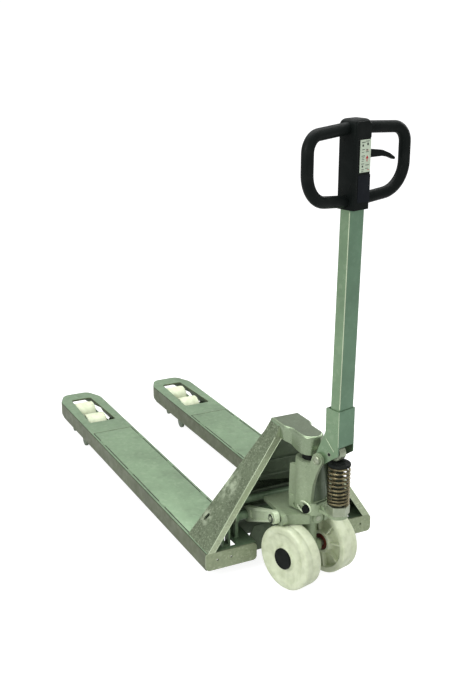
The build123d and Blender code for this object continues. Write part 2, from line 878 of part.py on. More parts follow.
foot_w = tube_width / 2 + 0.15
foot_front = 122.5
with BuildPart() as foot:
    for m in (-1, 1):
        with BuildSketch(s_upright(m * (foot_w + 1.5))):
            Polygon((78, 540), (foot_front + 2, 540), (foot_front + 2, 416), (101, 399),
                    (pivot_u + 8, pivot_z - 15.8), (pivot_u - 15.8, pivot_z + 8), (78, 474), align=None)
            with Locations((pivot_u, pivot_z)):
                Circle(17.7)
        extrude(amount=1.5, both=True)
    with BuildSketch(s_upright(0)):
        Polygon((78, 540), (81, 540), (81, 474), (78, 474), align=None)
        Polygon((foot_front, 540), (foot_front + 2, 540), (foot_front + 2, 438), (foot_front, 438), align=None)
    extrude(amount=foot_w, both=True)
    with BuildSketch(s_upright(0)):
        with Locations((pivot_u, pivot_z)):
            Circle(8 + fit)
        with Locations((93, 412)):
            Circle(6)
    extrude(amount=50, both=True, mode=Mode.SUBTRACT)
write(foot, "drawbar_foot")

with BuildPart() as roller_axle:
    with BuildSketch(s_upright(0)):
        with Locations((93, 412)):
            Circle(6)
    extrude(amount=foot_w + 3, both=True)
write(roller_axle, "pump_roller_pin")

with BuildPart() as pump_roller:
    with BuildSketch(s_upright(0)):
        with Locations((93, 412)):
            Circle(23.9)
            Circle(6 + fit, mode=Mode.SUBTRACT)
    extrude(amount=12, both=True)
    fillet(pump_roller.edges().filter_by(GeomType.CIRCLE).filter_by(lambda e: e.radius > 20), 2)
write(pump_roller, "pump_roller")


def loop_point(u, w, z):
    return axis_foot + ahead * u + side * w + Vector(0, 0, z)


loop_top_z = 1256.0
loop_low_z = 1079.0
with BuildPart() as loop:
    with BuildLine() as path:
        FilletPolyline(loop_point(loop_u, 0, loop_top_z),
                       loop_point(loop_end_u, loop_half, loop_top_z - 9),
                       loop_point(loop_end_u, loop_half, loop_low_z + 17),
                       loop_point(loop_u, 0, loop_low_z),
                       loop_point(loop_end_u, -loop_half, loop_low_z + 17),
                       loop_point(loop_end_u, -loop_half, loop_top_z - 9),
                       radius=(120, 40, 74, 120, 74, 40), close=True)
    with BuildSketch(Plane(origin=path.line @ 0, z_dir=path.line % 0)):
        Circle(loop_r)
    sweep(path=path.line)
write(loop, "handle_loop")

with BuildPart() as housing:
    with BuildSketch(s_level(tube_top)) as shape:
        with Locations(((housing_front + housing_back) / 2, 0)):
            Rectangle(housing_front - housing_back, 58)
        fillet(shape.vertices(), 6)
    extrude(amount=1277 - tube_top)
    fillet(housing.edges().group_by(Axis.Z)[-1], 14)
    with BuildSketch(s_level(tube_top + 4)):
        with Locations(((housing_front + housing_back) / 2, 0)):
            Rectangle(housing_front - housing_back - 8, 50)
    extrude(amount=170, mode=Mode.SUBTRACT)
    with BuildSketch(s_across(trigger_u)):
        with Locations((20, trigger_z)):
            Rectangle(42, 64)
    extrude(amount=8, both=True, mode=Mode.SUBTRACT)
    with BuildSketch(s_across(housing_back - 1)):
        with Locations((0, trigger_z)):
            Circle(5)
    extrude(amount=60, mode=Mode.SUBTRACT)
    add(loop.part, mode=Mode.SUBTRACT)
write(housing, "handle_housing")

with BuildPart() as trigger_pin:
    with BuildSketch(s_across(housing_back)):
        with Locations((0, trigger_z)):
            Circle(5)
    extrude(amount=housing_front - housing_back - 4.5)
write(trigger_pin, "trigger_pin")

with BuildPart() as trigger:
    with BuildSketch(s_across(trigger_u)):
        hull_outline([(0, trigger_z, 11), (50, trigger_z + 1, 10)])
        hull_outline([(50, trigger_z + 1, 10), (92, trigger_z - 2, 7.5)])
        hull_outline([(92, trigger_z - 2, 7.5), (119, trigger_z - 9.5, 5.2)])
        hull_outline([(119, trigger_z - 9.5, 5.2), (136.5, trigger_z - 18, 3.5)])
        with Locations((0, trigger_z)):
            Circle(5 + fit, mode=Mode.SUBTRACT)
    extrude(amount=6, both=True)
write(trigger, "trigger_lever")
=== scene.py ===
"""Looks of the hand pallet jack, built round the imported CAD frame. Lengths are in metres."""

import json
import math
import random

import bmesh
import bpy
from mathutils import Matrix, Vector

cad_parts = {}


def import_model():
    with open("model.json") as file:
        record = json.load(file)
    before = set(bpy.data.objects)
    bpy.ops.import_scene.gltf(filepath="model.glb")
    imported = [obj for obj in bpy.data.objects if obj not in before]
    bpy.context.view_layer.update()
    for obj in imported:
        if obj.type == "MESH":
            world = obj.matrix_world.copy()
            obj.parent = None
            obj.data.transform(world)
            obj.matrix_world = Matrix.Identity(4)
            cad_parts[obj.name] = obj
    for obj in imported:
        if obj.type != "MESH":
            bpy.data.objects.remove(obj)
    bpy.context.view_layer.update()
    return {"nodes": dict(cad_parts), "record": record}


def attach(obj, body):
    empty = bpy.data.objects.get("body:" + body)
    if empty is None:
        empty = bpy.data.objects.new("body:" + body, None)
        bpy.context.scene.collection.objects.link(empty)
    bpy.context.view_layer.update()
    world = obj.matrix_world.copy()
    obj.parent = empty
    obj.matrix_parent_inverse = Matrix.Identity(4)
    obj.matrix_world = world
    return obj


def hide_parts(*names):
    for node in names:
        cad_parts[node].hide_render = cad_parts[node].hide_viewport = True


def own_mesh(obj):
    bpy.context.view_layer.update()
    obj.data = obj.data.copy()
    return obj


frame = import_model()

# ---- driving dimensions, repeated from the part ----
REAR = 0.54476            # rear face of the end plates
FORK_Y = 0.190
FORK_HALF = 0.080
FORK_TOP = 0.085
STEER_X = 0.097
STEER = math.radians(14.5)
WHEEL_R = 0.092
WHEEL_W = 0.072           # middle of a wheel, sideways from the steering axis
WHEEL_HALF = 0.028
AXLE_U = 0.001
PISTON_U = 0.104
PIVOT_U, PIVOT_Z = 0.060, 0.388
SPRING_LOW, SPRING_HIGH = 0.264, 0.378
BOGIE_X = -1.206
ROLLER_GAP = 0.122
ROLLER_R = 0.040
ROLLER_HALF = 0.036
SHAFT_X, SHAFT_Z = -0.062, 0.1475
PIN_X, PIN_Z = 0.092, 0.205
HOUSING_FRONT = 0.145
FRAME_TOP = 0.428
BOSS_X = 0.142
SEAM_Y = 0.070

UP = Vector((0, 0, 1))
AHEAD = Vector((math.cos(STEER), math.sin(STEER), 0))
SIDE = Vector((-math.sin(STEER), math.cos(STEER), 0))
AXIS_FOOT = Vector((REAR + STEER_X, 0, 0))


def row(x, y, z):
    """A point of the frame, x measured from the end plates' rear face."""
    return Vector((REAR + x, y, z))


def steered(u, w, z):
    """A point of the steered unit: u ahead of the steering axis, w to its side."""
    return AXIS_FOOT + AHEAD * u + SIDE * w + UP * z


# ================= node materials =================

class Paint:
    """A Principled material whose colour, roughness and bump come from small node chains."""

    def __init__(self, name, metallic=0.0, specular=0.5):
        self.material = bpy.data.materials.new(name)
        self.material.use_nodes = True
        self.nodes = self.material.node_tree.nodes
        self.links = self.material.node_tree.links
        self.shader = self.nodes["Principled BSDF"]
        self.shader.inputs["Metallic"].default_value = metallic
        self.shader.inputs["Specular IOR Level"].default_value = specular
        self.place = self.nodes.new("ShaderNodeTexCoord").outputs["Object"]

    def stretched(self, scale):
        mapping = self.nodes.new("ShaderNodeMapping")
        mapping.inputs["Scale"].default_value = scale
        self.links.new(self.place, mapping.inputs["Vector"])
        return mapping.outputs["Vector"]

    def noise(self, scale, detail=3.0, place=None):
        node = self.nodes.new("ShaderNodeTexNoise")
        node.inputs["Scale"].default_value = scale
        node.inputs["Detail"].default_value = detail
        self.links.new(place or self.place, node.inputs["Vector"])
        return node.outputs["Fac"]

    def cells(self, scale):
        """One random grey per crystal."""
        node = self.nodes.new("ShaderNodeTexVoronoi")
        node.inputs["Scale"].default_value = scale
        node.inputs["Randomness"].default_value = 1.0
        self.links.new(self.place, node.inputs["Vector"])
        grey = self.nodes.new("ShaderNodeSeparateColor")
        self.links.new(node.outputs["Color"], grey.inputs["Color"])
        return grey.outputs["Red"]

    def spread(self, value, low, high, out_low=0.0, out_high=1.0):
        node = self.nodes.new("ShaderNodeMapRange")
        node.inputs["From Min"].default_value = low
        node.inputs["From Max"].default_value = high
        node.inputs["To Min"].default_value = out_low
        node.inputs["To Max"].default_value = out_high
        self.links.new(value, node.inputs["Value"])
        return node.outputs["Result"]

    def near(self, centre, radius):
        """1 at a point of the object, falling to 0 at radius."""
        away = self.nodes.new("ShaderNodeVectorMath")
        away.operation = "DISTANCE"
        self.links.new(self.place, away.inputs[0])
        away.inputs[1].default_value = centre
        return self.spread(away.outputs["Value"], radius * 0.45, radius, 1.0, 0.0)

    def product(self, a, b):
        node = self.nodes.new("ShaderNodeMath")
        node.operation = "MULTIPLY"
        self.links.new(a, node.inputs[0])
        self.links.new(b, node.inputs[1])
        return node.outputs[0]

    def blend(self, amount, a, b):
        """Mixes two colours, each a fixed colour or the output of an earlier mix."""
        node = self.nodes.new("ShaderNodeMix")
        node.data_type = "RGBA"
        self.links.new(amount, node.inputs["Factor"])
        for colour, socket in ((a, node.inputs["A"]), (b, node.inputs["B"])):
            if isinstance(colour, tuple):
                socket.default_value = (*colour, 1.0)
            else:
                self.links.new(colour, socket)
        return node.outputs["Result"]

    def colour(self, source):
        self.links.new(source, self.shader.inputs["Base Color"])

    def roughness(self, value, low, high):
        self.links.new(self.spread(value, 0.3, 0.7, low, high), self.shader.inputs["Roughness"])

    def bump(self, height, strength, distance):
        node = self.nodes.new("ShaderNodeBump")
        node.inputs["Strength"].default_value = strength
        node.inputs["Distance"].default_value = distance
        previous = self.shader.inputs["Normal"].links
        if previous:
            self.links.new(previous[0].from_socket, node.inputs["Normal"])
        self.links.new(height, node.inputs["Height"])
        self.links.new(node.outputs["Normal"], self.shader.inputs["Normal"])


def galvanised(name, mid, dark, bright, spangle, crystal=95.0, rough=(0.34, 0.52), metallic=0.75,
               glints=()):
    """Hot-dip zinc: crystals, soft clouds, run marks down the sheet and an uneven skin, with painted
    highlights blended in bright at the glint spots.
    """
    paint = Paint(name, metallic=metallic)
    clouds = paint.noise(9.0, 4.0)
    base = paint.blend(paint.spread(clouds, 0.35, 0.68), mid, tuple(0.82 * c for c in mid))
    crystals = paint.cells(crystal)
    base = paint.blend(paint.spread(crystals, 0.0, 0.35, spangle, 0.0), base, dark)
    base = paint.blend(paint.spread(crystals, 0.72, 1.0, 0.0, spangle), base, bright)
    runs = paint.noise(20.0, 5.0, paint.stretched((1.0, 1.0, 0.25)))
    base = paint.blend(paint.spread(runs, 0.56, 0.80, 0.0, 0.45), base, dark)
    specks = paint.noise(160.0, 2.0)
    base = paint.blend(paint.spread(specks, 0.66, 0.78, 0.0, 0.5), base, dark)
    # painted highlight: a bright patch with a ragged edge at each glint
    for centre, radius in glints:
        wear_and_glint = paint.product(paint.near(centre, radius), paint.spread(paint.noise(55.0, 4.0), 0.38, 0.58))
        base = paint.blend(wear_and_glint, base, bright)
    paint.colour(base)
    paint.roughness(paint.noise(34.0, 4.0), *rough)
    paint.bump(paint.noise(26.0, 3.0), 0.22, 0.0016)
    paint.bump(crystals, 0.06 * spangle, 0.0008)
    paint.bump(specks, 0.10, 0.0005)
    return paint


def plastic(name, colour, wear_and_glint, rough, grain=900.0, specular=0.06):
    """Moulded plastic with a fine grain, rubbed lighter in places."""
    paint = Paint(name, specular=specular)
    rubbed = paint.noise(22.0, 4.0)
    paint.colour(paint.blend(paint.spread(rubbed, 0.50, 0.78), colour, wear_and_glint))
    paint.roughness(paint.noise(60.0, 3.0), rough - 0.08, rough + 0.10)
    paint.bump(paint.noise(grain, 2.0), 0.16, 0.0004)
    return paint


ZINC_BRIGHT = (0.520, 0.600, 0.440)

sheet = galvanised("galvanised_fork", (0.205, 0.300, 0.185), (0.095, 0.132, 0.084), (0.40, 0.48, 0.34), 0.14,
                   metallic=0.45)
# painted shade: a darker copy of the fork sheet for the forks' side walls
shaded_side_sheet = galvanised("galvanised_side_painted_shade", (0.108, 0.130, 0.070), (0.052, 0.066, 0.038),
                        (0.26, 0.31, 0.20), 0.16, metallic=0.45)
# the glints listed here are painted highlights on the side plates
spangled = galvanised("galvanised_spangled", (0.190, 0.240, 0.148), (0.075, 0.092, 0.052), (0.46, 0.54, 0.38),
                      0.50, crystal=270.0, rough=(0.24, 0.42), metallic=0.65,
                      glints=[(row(-0.096, sign * 0.222, 0.147), 0.030) for sign in (-1, 1)]
                      + [(row(-0.075, sign * 0.152, 0.235), 0.055) for sign in (-1, 1)])
end_zinc = galvanised("galvanised_end", (0.305, 0.360, 0.225), (0.140, 0.175, 0.105), (0.58, 0.64, 0.46),
                      0.22, crystal=180.0, rough=(0.36, 0.50), metallic=0.45)
# painted shade: a dark copy of the zinc for undersides, interiors and hollows where shade falls
painted_shade_zinc = galvanised("galvanised_painted_shade", (0.112, 0.150, 0.096), (0.050, 0.068, 0.045),
                    (0.24, 0.31, 0.20), 0.18, metallic=0.3)
tube_zinc = galvanised("galvanised_tube", (0.215, 0.325, 0.198), (0.15, 0.21, 0.135), ZINC_BRIGHT, 0.10,
                       rough=(0.26, 0.38))
# painted shade: a darker copy of the tube zinc for the drawbar faces that point ahead
tube_front_shade = galvanised("galvanised_tube_front_painted_shade", (0.135, 0.238, 0.152), (0.095, 0.165, 0.106),
                        (0.26, 0.38, 0.27), 0.10, rough=(0.30, 0.42), metallic=0.55)
# painted light: a bright copy of the zinc for the side plates' front lips, which face the light
lit_lip_zinc = galvanised("galvanised_lip_painted_light", (0.44, 0.51, 0.34), (0.20, 0.24, 0.15), (0.70, 0.78, 0.58), 0.30,
                      crystal=210.0, rough=(0.26, 0.40), metallic=0.50)
casting = galvanised("galvanised_casting", (0.300, 0.375, 0.240), (0.13, 0.165, 0.10), ZINC_BRIGHT, 0.12,
                     crystal=260.0, rough=(0.40, 0.58), metallic=0.45)
arm_casting = galvanised("galvanised_arm", (0.56, 0.66, 0.46), (0.25, 0.31, 0.20), (0.76, 0.84, 0.66), 0.15,
                         crystal=240.0, rough=(0.38, 0.55), metallic=0.35)
casting.bump(casting.noise(420.0, 3.0), 0.28, 0.0006)
head_zinc = galvanised("galvanised_head", (0.30, 0.38, 0.25), (0.15, 0.19, 0.12), ZINC_BRIGHT, 0.10,
                       crystal=260.0, rough=(0.24, 0.40), metallic=0.80)
# painted shade: a darker, rougher copy of the head zinc for its flat top
head_top_shade = galvanised("galvanised_head_top_painted_shade", (0.115, 0.145, 0.095), (0.06, 0.08, 0.05),
                        (0.24, 0.29, 0.20), 0.12, crystal=260.0, rough=(0.42, 0.60), metallic=0.45)


def zinc_steel():
    paint = Paint("zinc_plated_steel", metallic=0.9)
    paint.colour(paint.blend(paint.noise(90.0, 3.0), (0.26, 0.31, 0.22), (0.44, 0.48, 0.36)))
    paint.roughness(paint.noise(70.0, 3.0), 0.25, 0.48)
    paint.bump(paint.noise(300.0, 2.0), 0.10, 0.0004)
    return paint


def rod_steel():
    paint = Paint("polished_rod", metallic=1.0)
    paint.colour(paint.blend(paint.noise(40.0, 2.0), (0.55, 0.57, 0.55), (0.66, 0.68, 0.66)))
    paint.roughness(paint.noise(220.0, 2.0, paint.stretched((1.0, 1.0, 6.0))), 0.10, 0.22)
    return paint


def spring_steel():
    paint = Paint("spring_steel", metallic=0.85)
    tarnish = paint.noise(60.0, 4.0)
    paint.colour(paint.blend(paint.spread(tarnish, 0.35, 0.65), (0.230, 0.200, 0.110), (0.085, 0.075, 0.042)))
    paint.roughness(tarnish, 0.20, 0.36)
    paint.bump(paint.noise(500.0, 2.0), 0.12, 0.0003)
    return paint


def nylon():
    """White cast nylon, a little green-yellow, with scuffs and turning marks."""
    paint = Paint("white_nylon", specular=0.4)
    scuffs = paint.noise(46.0, 5.0)
    base = paint.blend(paint.spread(scuffs, 0.40, 0.72), (0.62, 0.675, 0.49), (0.48, 0.535, 0.36))
    base = paint.blend(paint.spread(paint.noise(230.0, 3.0), 0.66, 0.80, 0.0, 0.5), base, (0.36, 0.38, 0.27))
    paint.colour(base)
    paint.roughness(paint.noise(90.0, 3.0), 0.34, 0.52)
    paint.shader.inputs["Subsurface Weight"].default_value = 0.12
    paint.shader.inputs["Subsurface Radius"].default_value = (0.006, 0.006, 0.004)
    paint.bump(scuffs, 0.10, 0.0008)
    return paint


steel = zinc_steel()
polished = rod_steel()
spring_wire = spring_steel()
nylon_white = nylon()
black = plastic("black_plastic", (0.0055, 0.0075, 0.0068), (0.010, 0.012, 0.011), 0.42)
black_cap = plastic("black_cap", (0.008, 0.010, 0.009), (0.018, 0.020, 0.018), 0.50)
panel_black = plastic("black_panel", (0.008, 0.010, 0.013), (0.014, 0.017, 0.020), 0.50, grain=1400.0)
seal_red = plastic("red_seal", (0.115, 0.028, 0.018), (0.060, 0.020, 0.014), 0.45)
label_white = plastic("label_film", (0.50, 0.58, 0.46), (0.40, 0.46, 0.36), 0.35)
label_ink = plastic("label_ink", (0.05, 0.06, 0.05), (0.10, 0.11, 0.09), 0.45)
label_red = plastic("label_red_ink", (0.42, 0.035, 0.045), (0.30, 0.05, 0.05), 0.45)
# painted shade: near-black for groove bottoms, recesses and the inside of the spring
painted_gap_shade = plastic("dark_painted_shade", (0.022, 0.032, 0.022), (0.050, 0.066, 0.045), 0.7, specular=0.2)


# ================= making pieces =================

def piece(name, mesh, paint, body, replaced=()):
    """Puts a mesh in the scene as a named piece that rides on a body."""
    obj = bpy.data.objects.new(name, mesh)
    bpy.context.scene.collection.objects.link(obj)
    mesh.materials.clear()
    mesh.materials.append(paint.material)
    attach(obj, body)
    for node in replaced:
        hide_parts(node)
    return obj


def shade(mesh, angle=32.0):
    mesh.polygons.foreach_set("use_smooth", [True] * len(mesh.polygons))
    mesh.set_sharp_from_angle(angle=math.radians(angle))


def evaluated(mesh, add_modifiers):
    """The mesh after modifiers that add_modifiers puts on a throwaway object."""
    obj = bpy.data.objects.new("work", mesh)
    bpy.context.scene.collection.objects.link(obj)
    add_modifiers(obj)
    bpy.context.view_layer.update()
    result = bpy.data.meshes.new_from_object(obj.evaluated_get(bpy.context.evaluated_depsgraph_get()))
    bpy.data.objects.remove(obj)
    return result


def rounded(mesh, width, segments=2):
    """Rounds every edge sharper than 30 degrees."""
    shade(mesh)

    def bevel(obj):
        modifier = obj.modifiers.new("round", "BEVEL")
        modifier.width = width
        modifier.segments = segments
        modifier.limit_method = "ANGLE"
        modifier.angle_limit = math.radians(30)
        modifier.harden_normals = True
        modifier.miter_outer = "MITER_ARC"

    return evaluated(mesh, bevel)


def from_faces(name, points, faces):
    mesh = bpy.data.meshes.new(name)
    mesh.from_pydata([tuple(p) for p in points], [], faces)
    mesh.update()
    work = bmesh.new()
    work.from_mesh(mesh)
    bmesh.ops.remove_doubles(work, verts=work.verts, dist=1e-7)
    bmesh.ops.recalc_face_normals(work, faces=work.faces)
    work.to_mesh(mesh)
    work.free()
    return mesh


def joined(name, meshes):
    work = bmesh.new()
    for mesh in meshes:
        work.from_mesh(mesh)
    mesh = bpy.data.meshes.new(name)
    work.to_mesh(mesh)
    work.free()
    shade(mesh)
    return mesh


def prism(outline, origin, across, up, depth):
    """Extrudes a 2D outline; depth runs along across x up."""
    out = across.cross(up)
    flat = [origin + across * x + up * y for x, y in outline]
    n = len(flat)
    points = flat + [p + out * depth for p in flat]
    faces = [list(range(n))[::-1], list(range(n, 2 * n))]
    faces += [[i, (i + 1) % n, n + (i + 1) % n, n + i] for i in range(n)]
    return from_faces("prism", points, faces)


def frame_across(axis):
    """Two unit vectors square to axis and to each other."""
    helper = UP if abs(axis.z) < 0.9 else Vector((1, 0, 0))
    first = axis.cross(helper).normalized()
    return first, axis.cross(first).normalized()


def lathe(profile, centre, axis, steps=64):
    """Turns (radius, along) pairs about an axis; a closed profile gives a closed ring."""
    first, second = frame_across(axis)
    n = len(profile)
    points = []
    for step in range(steps):
        turn = 2 * math.pi * step / steps
        spoke = first * math.cos(turn) + second * math.sin(turn)
        points += [centre + spoke * r + axis * a for r, a in profile]
    faces = []
    for step in range(steps):
        here, there = step * n, (step + 1) % steps * n
        faces += [[here + i, here + (i + 1) % n, there + (i + 1) % n, there + i] for i in range(n)]
    return from_faces("lathe", points, faces)


def knob(radius, low, high, centre, axis, edge=0.001, steps=40):
    """A solid turned stub with rounded rims."""
    tiny = 1e-5
    shoulder = edge * 0.3
    profile = [(tiny, low), (radius - edge, low), (radius - shoulder, low + shoulder), (radius, low + edge),
               (radius, high - edge), (radius - shoulder, high - shoulder), (radius - edge, high),
               (tiny, high)]
    return lathe(profile, centre, axis, steps)


def hexagon(size, height, centre, axis, turn=0.0):
    """A hex head with the given width across flats."""
    first, second = frame_across(axis)
    corner = size / math.sqrt(3)
    outline = [(corner * math.cos(turn + math.pi / 3 * i), corner * math.sin(turn + math.pi / 3 * i))
               for i in range(6)]
    return rounded(prism(outline, centre, first, second, height), height * 0.12)


def tube(points, radius, sides=16, closed=False, caps=True, flat=1.0):
    """Sweeps a circle along points. flat squeezes it along the second transported direction."""
    count = len(points)
    tangents = []
    for i in range(count):
        before = points[i - 1] if i or closed else points[0]
        after = points[(i + 1) % count] if i < count - 1 or closed else points[-1]
        tangents.append((after - before).normalized())
    first, _ = frame_across(tangents[0])
    rings = []
    for i, (point, tangent) in enumerate(zip(points, tangents)):
        first = (first - tangent * first.dot(tangent)).normalized()
        second = tangent.cross(first)
        r = radius[i] if isinstance(radius, list) else radius
        rings.append([point + first * r * math.cos(a) + second * r * flat * math.sin(a)
                      for a in (2 * math.pi * k / sides for k in range(sides))])
    verts = [p for ring in rings for p in ring]
    faces = []
    for i in range(count if closed else count - 1):
        a, b = i * sides, (i + 1) % count * sides
        faces += [[a + k, a + (k + 1) % sides, b + (k + 1) % sides, b + k] for k in range(sides)]
    if caps and not closed:
        faces += [list(range(sides))[::-1], list(range((count - 1) * sides, count * sides))]
    return from_faces("tube", verts, faces)


def rounded_path(corners, radii, closed=False, steps=10):
    """Points along a polyline whose corners are rounded by arcs."""
    out = []
    n = len(corners)
    for i, corner in enumerate(corners):
        r = radii[i]
        if r <= 0 or (not closed and i in (0, n - 1)):
            out.append(corner.copy())
            continue
        back = (corners[i - 1] - corner).normalized()
        forth = (corners[(i + 1) % n] - corner).normalized()
        half = math.acos(max(-1.0, min(1.0, back.dot(forth)))) / 2
        reach = r / math.tan(half)
        centre = corner + (back + forth).normalized() * r / math.sin(half)
        start, end = corner + back * reach - centre, corner + forth * reach - centre
        sweep = math.pi - 2 * half
        for k in range(steps + 1):
            t = k / steps
            spoke = start * math.sin((1 - t) * sweep) + end * math.sin(t * sweep)
            out.append(centre + spoke / math.sin(sweep))
    return out


def weld(points, radius, seed):
    """A weld bead: a thin ripple laid along points."""
    dice = random.Random(seed)
    dense = []
    for a, b in zip(points, points[1:]):
        steps = max(2, int((b - a).length / 0.0022))
        dense += [a.lerp(b, k / steps) for k in range(steps)]
    dense.append(points[-1])
    radii = [radius * (0.82 + 0.18 * math.cos(k * 2.1) + dice.uniform(-0.07, 0.07))
             for k in range(len(dense))]
    radii[0] = radii[-1] = radius * 0.3
    return tube(dense, radii, sides=8)


def body_of(node):
    for body, nodes in frame["record"]["behaviour"]["bodies"].items():
        if node in nodes:
            return body
    raise KeyError(node)


# ================= CAD nodes with rounded edges =================

def repaint(obj, paint, chosen):
    """Gives a second material to the faces for which chosen(centre, normal) is true."""
    obj.data.materials.append(paint.material)
    index = len(obj.data.materials) - 1
    for face in obj.data.polygons:
        if chosen(face.center, face.normal):
            face.material_index = index


def softened(node, width, paint):
    """Copies a node's mesh, joins its flat faces, rounds its sharp edges and shows that instead."""
    work = bmesh.new()
    work.from_mesh(frame["nodes"][node].data)
    bmesh.ops.remove_doubles(work, verts=work.verts, dist=2e-6)
    bmesh.ops.dissolve_limit(work, angle_limit=math.radians(1.0), verts=work.verts, edges=work.edges)
    mesh = bpy.data.meshes.new(node)
    work.to_mesh(mesh)
    work.free()
    return piece(f"{node}_skin", rounded(mesh, width), paint, body_of(node), [node])


SOFT_NODES = (
    (sheet, 0.0010, ("fork_left", "fork_right")),
    (spangled, 0.0012, ("side_plate_left", "side_plate_right")),
    (end_zinc, 0.0014, ("end_plate_left", "end_plate_right")),
    (sheet, 0.0010, ("front_plate", "pivot_bracket_left", "pivot_bracket_right")),
    (arm_casting, 0.0022, ("rocker_arm_left", "rocker_arm_right")),
    (casting, 0.0022, ("bearing_yoke",)),
    (casting, 0.0016, ("pump_body",)),
    (tube_zinc, 0.0005, ("drawbar_foot",)),
    (tube_zinc, 0.0006, ("drawbar_tube",)),
    (sheet, 0.0012, ("roller_arm_left", "roller_arm_right", "bogie_left", "bogie_right")),
    (steel, 0.0010, ("piston_barrel", "yoke_pin_left", "yoke_pin_right", "drawbar_pin", "release_lever")),
    (black, 0.0022, ("trigger_lever",)),
    (black, 0.0014, ("handle_housing",)),
    (black_cap, 0.0008, ("hub_cap_left", "hub_cap_right", "spring_cap")),
)
skins = {node: softened(node, width, paint) for paint, width, nodes in SOFT_NODES for node in nodes}


def in_steered(centre):
    """How far a point lies ahead of the steering axis, and to its side."""
    away = centre - AXIS_FOOT
    return away.dot(AHEAD), away.dot(SIDE)


def cast_head():
    """The head keeps the part's own rounding, shaded smooth; its flat top takes a darker, rougher copy of the
    zinc whose darkness is painted shade, and its underside is in painted shade.
    """
    mesh = frame["nodes"]["head"].data.copy()
    shade(mesh, 40.0)
    obj = piece("head_skin", mesh, head_zinc, "chassis", ["head"])
    repaint(obj, head_top_shade, lambda centre, normal: normal.z > 0.97)
    repaint(obj, painted_shade_zinc, lambda centre, normal: normal.z < -0.7)


def between_cheeks(centre, normal):
    u, w = in_steered(centre)
    return u > 0.030 and abs(w) < 0.0306 and 0.252 < centre.z < 0.372 and abs(normal.z) < 0.9


def raised_inner_walls(obj):
    """The walls of a fork that face the gap end a little above the outer ones."""
    for vertex in obj.data.vertices:
        point = vertex.co
        if abs(point.y) < 0.1158 and point.z < 0.0340 and point.x > row(-1.2625, 0, 0).x:
            point.z += 0.008


for word in ("left", "right"):
    raised_inner_walls(skins[f"fork_{word}"])
cast_head()
# painted shade on the drawbar faces that point ahead
for node in ("drawbar_tube", "drawbar_foot"):
    repaint(skins[node], tube_front_shade, lambda centre, normal: normal.dot(AHEAD) > 0.8)
# painted shade on the pump body's faces between its cheeks
repaint(skins["pump_body"], painted_shade_zinc, between_cheeks)
# painted shade on the barrel inside the spring
repaint(skins["piston_barrel"], painted_gap_shade, lambda centre, normal: centre.z > SPRING_LOW + 0.001)

for sign, word in ((-1, "left"), (1, "right")):
    middle_y = sign * FORK_Y

    def within(centre, normal):
        return abs(centre.y - middle_y) < FORK_HALF - 0.004 and centre.z < FORK_TOP - 0.003

    # painted shade: the forks' side walls take the darker copy
    repaint(skins[f"fork_{word}"], shaded_side_sheet, lambda centre, normal: abs(normal.z) < 0.75)
    # painted shade on the faces under each fork's top
    repaint(skins[f"fork_{word}"], painted_shade_zinc, lambda centre, normal: within(centre, normal)
            and row(-1.36, 0, 0).x < centre.x)
    # painted shade at the bottoms of the seam grooves on the fork tops
    repaint(skins[f"fork_{word}"], painted_gap_shade, lambda centre, normal: normal.z > 0.5
            and FORK_TOP - 0.0016 < centre.z < FORK_TOP - 0.0006)
    # painted light: the side plates' forward-facing lips take the bright copy
    repaint(skins[f"side_plate_{word}"], lit_lip_zinc, lambda centre, normal: normal.x > 0.7)
    # painted shade on the side plates' undersides and inward faces
    repaint(skins[f"side_plate_{word}"], painted_shade_zinc,
            lambda centre, normal: normal.z < -0.3 or normal.y * sign < -0.5)
# painted shade on the front plate's faces toward the forks
repaint(skins["front_plate"], painted_shade_zinc, lambda centre, normal: normal.x > 0.5)

PLAIN_NODES = (
    (sheet, ("rocker_shaft", "cross_tube", "push_rod_left", "push_rod_right")),
    # painted shade on the heel plate
    (painted_shade_zinc, ("heel_plate",)),
    (steel, ("arm_pin_left", "arm_pin_right", "bogie_stubs_left", "bogie_stubs_right", "roller_pins_left",
             "roller_pins_right", "thrust_bearing", "wheel_axle", "pump_roller", "pump_roller_pin",
             "trigger_pin")),
    (seal_red, ("wheel_bearing_left", "wheel_bearing_right")),
    (polished, ("ram",)),
    # painted shade on the piston inside the spring
    (painted_gap_shade, ("pump_piston",)),
    (black_cap, ("ram_gland",)),
)
for paint, nodes in PLAIN_NODES:
    for node in nodes:
        data = frame["nodes"][node].data
        data.materials.clear()
        data.materials.append(paint.material)


# ================= steering wheels and load rollers =================

